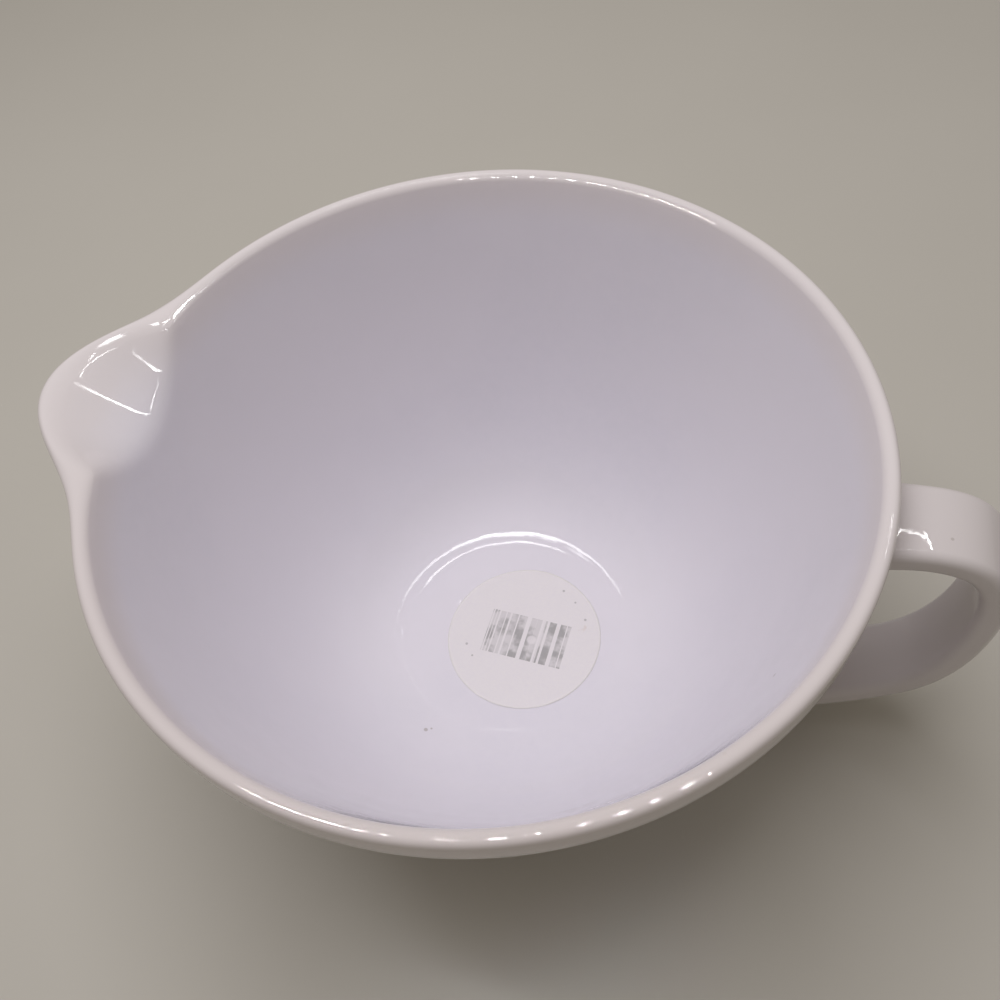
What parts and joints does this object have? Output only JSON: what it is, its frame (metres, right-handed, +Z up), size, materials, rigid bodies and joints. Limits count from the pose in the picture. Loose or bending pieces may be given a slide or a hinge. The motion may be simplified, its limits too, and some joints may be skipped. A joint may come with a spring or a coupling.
{
  "type": "batter bowl",
  "caption": "Deep round glazed stoneware mixing bowl with a pouring spout drawn out of its rim, a strap handle opposite it and a turned foot ring.",
  "frame": {"origin": "centre of the foot ring's resting face, on the bowl's axis", "axes": "+Z up along the bowl's axis, +X from the axis towards the handle, -X towards the spout"},
  "size_m": [0.2864, 0.228, 0.1305],
  "materials": {
    "glaze": "glossy lilac-white glaze over stoneware, foot ring wiped bare",
    "slip": "smoothed luting slip under the same glaze",
    "label_paper": "matt round adhesive paper label, slightly worn"
  },
  "bodies": {
    "root": {"bowl_body": "glaze", "handle": "glaze", "upper_slip_joint": "slip", "lower_slip_joint": "slip", "price_label": "label_paper"}
  },
  "joints": []
}
